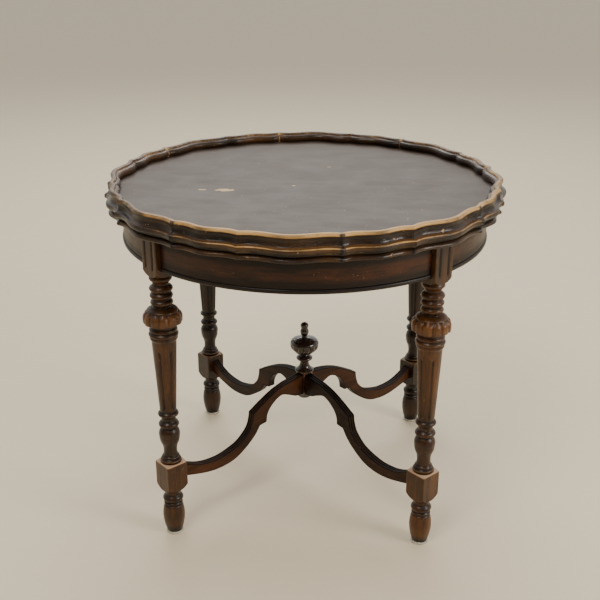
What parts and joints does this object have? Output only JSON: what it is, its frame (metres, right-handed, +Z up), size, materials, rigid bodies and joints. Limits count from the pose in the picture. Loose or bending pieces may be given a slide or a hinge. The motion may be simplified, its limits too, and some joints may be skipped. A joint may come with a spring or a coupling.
{
  "type": "tilt top table",
  "caption": "Round occasional table with a scalloped raised rim, hinged tip-up top, drum apron, turned fluted legs and a serpentine cross stretcher with a finial.",
  "frame": {"origin": "on the floor, on the upright axis of the round top", "axes": "+Z up, +Y towards the hinged back of the top, -Y towards the front edge that lifts, +X to the right seen from the front"},
  "size_m": [0.762, 0.762, 0.654],
  "materials": {
    "dark_lacquer": "satin dark stained lacquer",
    "carved_rim": "worn and crazed dark gloss lacquer over carved walnut",
    "mahogany_veneer": "red-brown satin lacquer",
    "turned_walnut": "worn brown satin lacquer",
    "sawn_walnut": "worn brown satin lacquer",
    "dark_walnut": "near black gloss lacquer",
    "plain_poplar": "bare, aged",
    "aged_brass": "dull aged brass",
    "steel_screw": "dull",
    "nylon_glide": "off-white, scuffed"
  },
  "bodies": {
    "frame": {"leg_front_right": "turned_walnut", "glide_front_right": "nylon_glide", "corner_block_front_right": "plain_poplar", "stretcher_arm_front_right": "sawn_walnut", "leg_back_right": "turned_walnut", "glide_back_right": "nylon_glide", "corner_block_back_right": "plain_poplar", "stretcher_arm_back_right": "sawn_walnut", "leg_back_left": "turned_walnut", "glide_back_left": "nylon_glide", "corner_block_back_left": "plain_poplar", "stretcher_arm_back_left": "sawn_walnut", "leg_front_left": "turned_walnut", "glide_front_left": "nylon_glide", "corner_block_front_left": "plain_poplar", "stretcher_arm_front_left": "sawn_walnut", "apron_front": "mahogany_veneer", "apron_bead_front": "turned_walnut", "apron_right": "mahogany_veneer", "apron_bead_right": "turned_walnut", "apron_back": "mahogany_veneer", "apron_bead_back": "turned_walnut", "apron_left": "mahogany_veneer", "apron_bead_left": "turned_walnut", "corner_block_screws": "steel_screw", "cross_rail_front": "plain_poplar", "cross_rail_back": "plain_poplar", "stretcher_hub": "dark_walnut", "finial": "dark_walnut", "hinge_leaf_apron_right": "aged_brass", "hinge_leaf_apron_left": "aged_brass", "hinge_pin_right": "aged_brass", "hinge_pin_left": "aged_brass", "hinge_screws_apron": "steel_screw", "strike_plate": "aged_brass", "strike_screws": "steel_screw"},
    "top": {"top_board": "dark_lacquer", "rim_segment_1": "carved_rim", "rim_segment_2": "carved_rim", "rim_segment_3": "carved_rim", "rim_segment_4": "carved_rim", "rim_segment_5": "carved_rim", "rim_segment_6": "carved_rim", "rim_segment_7": "carved_rim", "rim_segment_8": "carved_rim", "under_moulding_front": "carved_rim", "under_moulding_right": "carved_rim", "under_moulding_back": "carved_rim", "under_moulding_left": "carved_rim", "bearer_right": "plain_poplar", "bearer_left": "plain_poplar", "bearer_screws": "steel_screw", "hinge_leaf_top_right": "aged_brass", "hinge_leaf_top_left": "aged_brass", "hinge_screws_top": "steel_screw", "bolt_packer": "plain_poplar", "bolt_plate": "aged_brass", "bolt_screws": "steel_screw"},
    "bolt": {"bolt": "aged_brass"}
  },
  "joints": [
    {"name": "top_tilt", "type": "hinge", "parent": "frame", "child": "top", "pos_m": [0, 0.3515, 0.6062], "axis": [-1, 0, 0], "range_deg": [0, 90]},
    {"name": "bolt_slide", "type": "slide", "parent": "top", "child": "bolt", "axis": [0, -1, 0], "range_m": [0, 0.014]}
  ]
}
